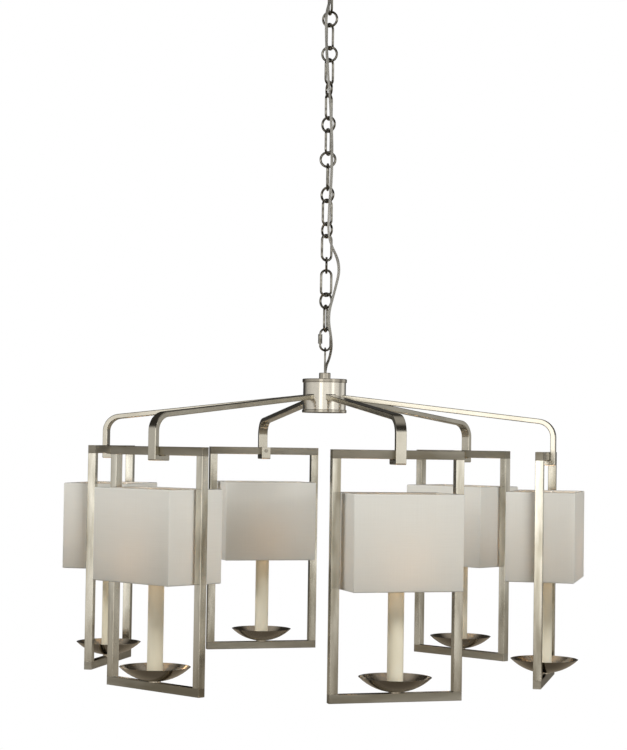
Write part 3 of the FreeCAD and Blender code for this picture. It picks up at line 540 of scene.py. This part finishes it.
def rib_outline(width):
    """A flat cord's section: three round conductors side by side, webbed together."""
    ribs, corners = 3, 9
    web = 0.28          # half of a web's thickness, as a share of a rib's radius
    web_from = 0.9      # how far from a rib's middle its web starts, as such a share
    same_point = 1e-5
    rib = width / ribs / 2
    outline = []
    for side in (1, -1):
        for number in range(ribs)[::side]:
            centre = (number - (ribs - 1) / 2) * 2 * rib
            for corner in range(corners):
                share = corner / (corners - 1)
                angle = pi * (1 - share) if side == 1 else -pi * share
                on_web = (number > 0 and cos(angle) < -web_from) or (
                    number < ribs - 1 and cos(angle) > web_from)
                rise = abs(sin(angle))
                lift = web if on_web else rise * (web + (1 - web) * rise ** 0.8)
                outline.append((centre + rib * cos(angle), side * rib * lift))
    kept = []
    for x, y in outline:
        if not kept or hypot(x - kept[-1][0], y - kept[-1][1]) > same_point:
            kept.append((x, y))
    if hypot(kept[0][0] - kept[-1][0], kept[0][1] - kept[-1][1]) < same_point:
        kept.pop()
    return kept


def travel(line):
    """The distance along the line to each of its points."""
    lengths = [0.0]
    for here, there in zip(line, line[1:]):
        lengths.append(lengths[-1] + (there - here).length)
    return lengths


def cord_axes(line, index, travelled):
    """The directions across the flat cord and through it, as it slowly twists."""
    way = (line[min(index + 1, len(line) - 1)] - line[max(index - 1, 0)]).normalized()
    across = way.cross(FRONT).normalized()
    through = across.cross(way).normalized()
    twist = 0.55 * sin(travelled * 17) + 0.25 * sin(travelled * 41 + 1)
    return (across * cos(twist) + through * sin(twist),
            through * cos(twist) - across * sin(twist))


def make_cord(materials):
    """A flat cord of three ribs that follows the chain, its flat face to the front."""
    line = route_line(cord_points())
    lengths = travel(line)
    outline = rib_outline(CORD_WIDE)
    count = len(outline)
    bm = bmesh.new()
    uv = bm.loops.layers.uv.new("UVMap")
    rings = []
    for index, (point, travelled) in enumerate(zip(line, lengths)):
        wide, thin = cord_axes(line, index, travelled)
        rings.append([bm.verts.new(point + wide * x + thin * y) for x, y in outline])
    stations = list(zip(rings, lengths))
    for (low, start), (high, stop) in zip(stations, stations[1:]):
        for step in range(count):
            after = (step + 1) % count
            here, there = step / count, (step + 1) / count
            add_quad(bm, uv, [(low[step], here, start), (low[after], there, start),
                              (high[after], there, stop), (high[step], here, stop)])
    bm.faces.new(list(reversed(rings[0])))
    bm.faces.new(rings[-1])
    cord = add_object("cord_flat", finish_mesh("cord_flat", bm, 80), materials["cord"],
                      "fixture")
    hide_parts("supply_cord")


# ---------------------------------------------------------------- fabric shades
def wall_profile():
    """The cloth wall in section, as (inset, height): flat outside, rolled in over the wires."""
    wire_inset = 0.00255
    wire_from_edge = 0.0018
    roll = 0.0015
    # inside, the turned-in cloth adds its thickness as far as hem_high from the edge
    hem_thick, hem_high, hem_ends = 0.0006, 0.0052, 0.0062
    steps = 7
    turns = [pi - pi * step / steps for step in range(steps + 1)]

    def hem(angle, centre, way):
        reach = wire_inset if cos(angle) < 0 else roll
        return (wire_inset + reach * cos(angle), centre + way * roll * sin(angle))

    top = [hem(angle, SHADE_HIGH - wire_from_edge, 1) for angle in turns]
    inside = [(SHADE_SKIN + hem_thick, SHADE_HIGH - hem_high),
              (SHADE_SKIN, SHADE_HIGH - hem_ends),
              (SHADE_SKIN, hem_ends),
              (SHADE_SKIN + hem_thick, hem_high)]
    bottom = [hem(angle, wire_from_edge, -1) for angle in reversed(turns)]
    return top + inside + bottom


def box_path(half_x, half_y, radius):
    """Stations round a box with rounded corners, and the distance all the way round.

    Each is (x, y, outward x, outward y, distance). A quarter of them is one side and
    the corner after it.
    """
    arc_steps, side_steps = 5, 10
    stations = []
    distance = 0.0
    last = None
    for quarter in range(4):
        reach, half_side = (half_x, half_y) if quarter % 2 == 0 else (half_y, half_x)
        turn = quarter * pi / 2
        local = []
        for step in range(side_steps):
            along = -half_side + radius + (2 * half_side - 2 * radius) * step / side_steps
            local.append((reach, along, 1.0, 0.0))
        for step in range(arc_steps):
            angle = pi / 2 * step / arc_steps
            local.append((reach - radius + radius * cos(angle),
                          half_side - radius + radius * sin(angle), cos(angle), sin(angle)))
        for x, y, out_x, out_y in local:
            place = rotated(x, y, turn)
            if last:
                distance += hypot(place[0] - last[0], place[1] - last[1])
            last = place
            stations.append((*place, *rotated(out_x, out_y, turn), distance))
    return stations, distance + hypot(stations[0][0] - last[0], stations[0][1] - last[1])


def make_shade(k, materials):
    """Cloth laminated to a stiff lining, wrapped round a box and lapped on one side."""
    corner_radius = 0.0016
    seam_share, seam_wide, seam_proud = 0.39, 0.009, 0.0004
    wave = 0.0005       # how far the cloth stands in and out between its wires
    turn = radians(FIRST_FACING + FACING_STEP * (k - 1))
    low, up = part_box(f"shade_{k}")
    centre = Vector(((low.x + up.x) / 2, (low.y + up.y) / 2, low.z))
    profile = wall_profile()
    count = len(profile)
    stations, perimeter = box_path(SHADE_DEEP / 2, SHADE_WIDE / 2, corner_radius)
    bm = bmesh.new()
    uv = bm.loops.layers.uv.new("UVMap")
    rings = []
    for x, y, out_x, out_y, distance in stations:
        on_lap = abs(distance - perimeter * seam_share) < seam_wide / 2
        ring = []
        for inset, height in profile:
            sag = wave * sin(pi * height / SHADE_HIGH) * sin(
                2 * tau * distance / perimeter + k)
            proud = seam_proud if on_lap and inset < SHADE_SKIN / 2 else 0.0
            shift = proud + sag - inset
            ring.append(bm.verts.new(centre + Vector((
                *rotated(x + out_x * shift, y + out_y * shift, turn), height))))
        rings.append((ring, distance))
    rings.append((rings[0][0], perimeter))
    for (here, start), (there, stop) in zip(rings, rings[1:]):
        for step in range(count):
            after = (step + 1) % count
            foot, top = profile[step][1], profile[after][1]
            add_quad(bm, uv, [(here[step], start, foot), (there[step], stop, foot),
                              (there[after], stop, top), (here[after], start, top)])
    mesh = finish_mesh(f"cloth_shade_{k}", bm, 50)
    # a crease where each side starts keeps its shading flat
    for edge in mesh.edges:
        station, other = (vertex // count for vertex in edge.vertices)
        if station == other and station % (len(stations) // 4) == 0:
            edge.use_edge_sharp = True
    shade = add_object(f"cloth_shade_{k}", mesh, materials["fabric"], f"shade_{k}")
    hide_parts(f"shade_{k}")


# ---------------------------------------------------------------- bulbs
def glass_outline(tall, radius, neck_radius, cap_high):
    """A candle bulb's envelope, from its cap up to its tip."""
    steps = 26
    outline = []
    for step in range(steps):
        share = step / steps
        belly = sin(pi * min(share * 1.02 + 0.1, 1.0) ** 0.82) ** 0.75
        reach = max(neck_radius * (1 - share) ** 0.6, radius * belly)
        outline.append((reach, cap_high + (tall - cap_high) * share))
    return outline + [(0.0, tall)]


def cap_outline(radius, high):
    """A screw cap: the contact and its insulator, the rolled thread, and the rim."""
    turns, points_per_turn = 5, 6
    thread_from, thread_high = 0.003, high - 0.004
    outline = [(0.0, 0.0), (0.0022, 0.0), (0.0026, 0.0012), (0.0048, 0.0022)]
    for step in range(turns * points_per_turn + 1):
        share = step / (turns * points_per_turn)
        ridge = 0.0003 * cos(share * turns * tau)
        outline.append((radius - 0.0004 + ridge, thread_from + thread_high * share))
    return outline + [(radius + 0.0004, high + 0.0006), (0.0, high + 0.0006)]


def make_bulb(k, materials):
    """A candle bulb: a blown frosted envelope on a screw cap with a rolled thread."""
    cap_radius, cap_high = 0.0058, 0.024
    low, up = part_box(f"bulb_{k}")
    base = Vector(((low.x + up.x) / 2, (low.y + up.y) / 2, low.z))
    bm = bmesh.new()
    lathe(bm, glass_outline(up.z - low.z, (up.x - low.x) / 2, cap_radius + 0.0005, cap_high),
          base, 40)
    glass = add_object(f"bulb_glass_{k}", finish_mesh(f"bulb_glass_{k}", bm, 60),
                       materials["glass"], f"bulb_{k}")
    bm = bmesh.new()
    lathe(bm, cap_outline(cap_radius, cap_high), base, 32)
    add_object(f"bulb_cap_{k}", finish_mesh(f"bulb_cap_{k}", bm, 30), materials["brass"],
               f"bulb_{k}")
    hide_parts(f"bulb_{k}")


# ---------------------------------------------------------------- studio
def make_floor():
    """A pale floor below the fixture, fading to the white of the backdrop at its edge."""
    drop = -2.45
    reach = 3.2
    bm = bmesh.new()
    bmesh.ops.create_circle(bm, cap_ends=True, radius=reach, segments=96)
    mesh = bpy.data.meshes.new("studio_floor")
    bm.to_mesh(mesh)
    bm.free()
    floor = bpy.data.objects.new("studio_floor", mesh)
    scene.collection.objects.link(floor)
    floor.location = (0, 0, drop)
    floor.visible_glossy = False
    floor.visible_diffuse = False
    m = Nodes("pale_floor")
    m.set(Roughness=0.9)
    cloud = m.noise(m.place(), 3, 3)
    m.colour(m.two_tone(cloud, (0.9, 0.9, 0.9), (0.93, 0.93, 0.93)))
    distance = m.add("ShaderNodeVectorMath", operation="LENGTH")
    m.link(m.place(), distance.inputs[0])
    fade = m.spread(distance.outputs["Value"], 0, 1, (0.3 * reach, 0.95 * reach))
    paper = m.add("ShaderNodeEmission")
    m.link(m.mix_shaders(fade, m.shader.outputs["BSDF"], paper.outputs["Emission"]),
           m.output.inputs["Surface"])
    mesh.materials.append(m.material)


def make_world():
    """White to the eye, and to the metal a studio with bright walls.

    The metal sees walls whose brightness changes round the room, a brown floor that
    darkens downwards, and a dark ceiling that is lighter overhead.
    """
    w = Nodes("studio", "worlds")
    w.tree.nodes.clear()
    coords = w.add("ShaderNodeTexCoord")

    def along(direction):
        node = w.add("ShaderNodeVectorMath", operation="DOT_PRODUCT")
        w.link(coords.outputs["Generated"], node.inputs[0])
        node.inputs[1].default_value = direction
        return node.outputs["Value"]

    height = along(UP)

    def between(first, last):
        """From 0 to 1 as the elevation goes from first to last, in degrees."""
        return w.spread(height, 0, 1, (sin(radians(first)), sin(radians(last))))

    # the walls' brightness, by degrees from the viewer's side towards the viewer's right
    panels = [(-180, 0.05), (-132, 0.05), (-108, 0.5), (-70, 0.85), (-30, 0.95), (-26, 2.1),
              (-12, 2.1), (-8, 1.2), (15, 1.3), (30, 1.0), (38, 1.0), (43, 1.9),
              (50, 1.9), (56, 1.1), (80, 0.9), (88, 0.45), (100, 0.45), (108, 0.9),
              (124, 0.9), (140, 0.2), (180, 0.05)]
    warm = (1.0, 0.98, 0.93)
    azimuth = w.spread(w.maths("ARCTAN2", along(RIGHT), along(FRONT)), 0, 1, (-pi, pi))
    walls = w.ramp(azimuth, [((degree + 180) / 360, [level * part for part in warm])
                             for degree, level in panels])
    floor = w.mix(between(-24, -60), (0.28, 0.247, 0.196), (0.12, 0.105, 0.085))
    ceiling = w.mix(between(44, 64), (0.04, 0.037, 0.032), (0.42, 0.4, 0.37))
    room = w.mix(between(11, 20), w.mix(between(-6.5, -3.5), floor, walls), ceiling)
    lit = w.add("ShaderNodeBackground")
    w.link(room, lit.inputs["Color"])
    paper = w.add("ShaderNodeBackground")
    paper.inputs["Color"].default_value = (1, 1, 1, 1)
    rays = w.add("ShaderNodeLightPath")
    output = w.add("ShaderNodeOutputWorld")
    w.link(w.mix_shaders(rays.outputs["Is Camera Ray"], lit.outputs["Background"],
                         paper.outputs["Background"]), output.inputs["Surface"])
    scene.world = w.material


def soft_box(name, azimuth, elevation, distance, wide, high, watts):
    """An area light aimed at the fixture.

    Azimuth is in degrees from the viewer's side towards the viewer's right. The metal
    doesn't mirror the light, since its reflections come from the world.
    """
    light = bpy.data.lights.new(name, "AREA")
    light.shape = "RECTANGLE"
    light.size = wide
    light.size_y = high
    light.energy = watts
    holder = bpy.data.objects.new(name, light)
    scene.collection.objects.link(holder)
    holder.visible_glossy = False
    flat = FRONT * cos(radians(azimuth)) + RIGHT * sin(radians(azimuth))
    way = flat * cos(radians(elevation)) + UP * sin(radians(elevation))
    target = (cad_box[0] + cad_box[1]) / 2 - UP * 0.25
    holder.location = target + way * distance
    holder.rotation_euler = (-way).to_track_quat("-Z", "Y").to_euler()


def make_lights():
    soft_box("key_left", -86, 38, 3.0, 1.2, 0.8, 62)
    soft_box("key_right", 28, 42, 3.0, 1.2, 0.8, 75)
    soft_box("fill_back", 172, 22, 3.2, 1.4, 1.0, 34)
    scene.view_settings.view_transform = "Standard"


# ---------------------------------------------------------------- build
make_camera()
materials = make_materials()
make_cord(materials)
dress_cad(materials)
for unit in UNITS:
    make_shade(unit, materials)
    make_bulb(unit, materials)
make_floor()
make_world()
make_lights()
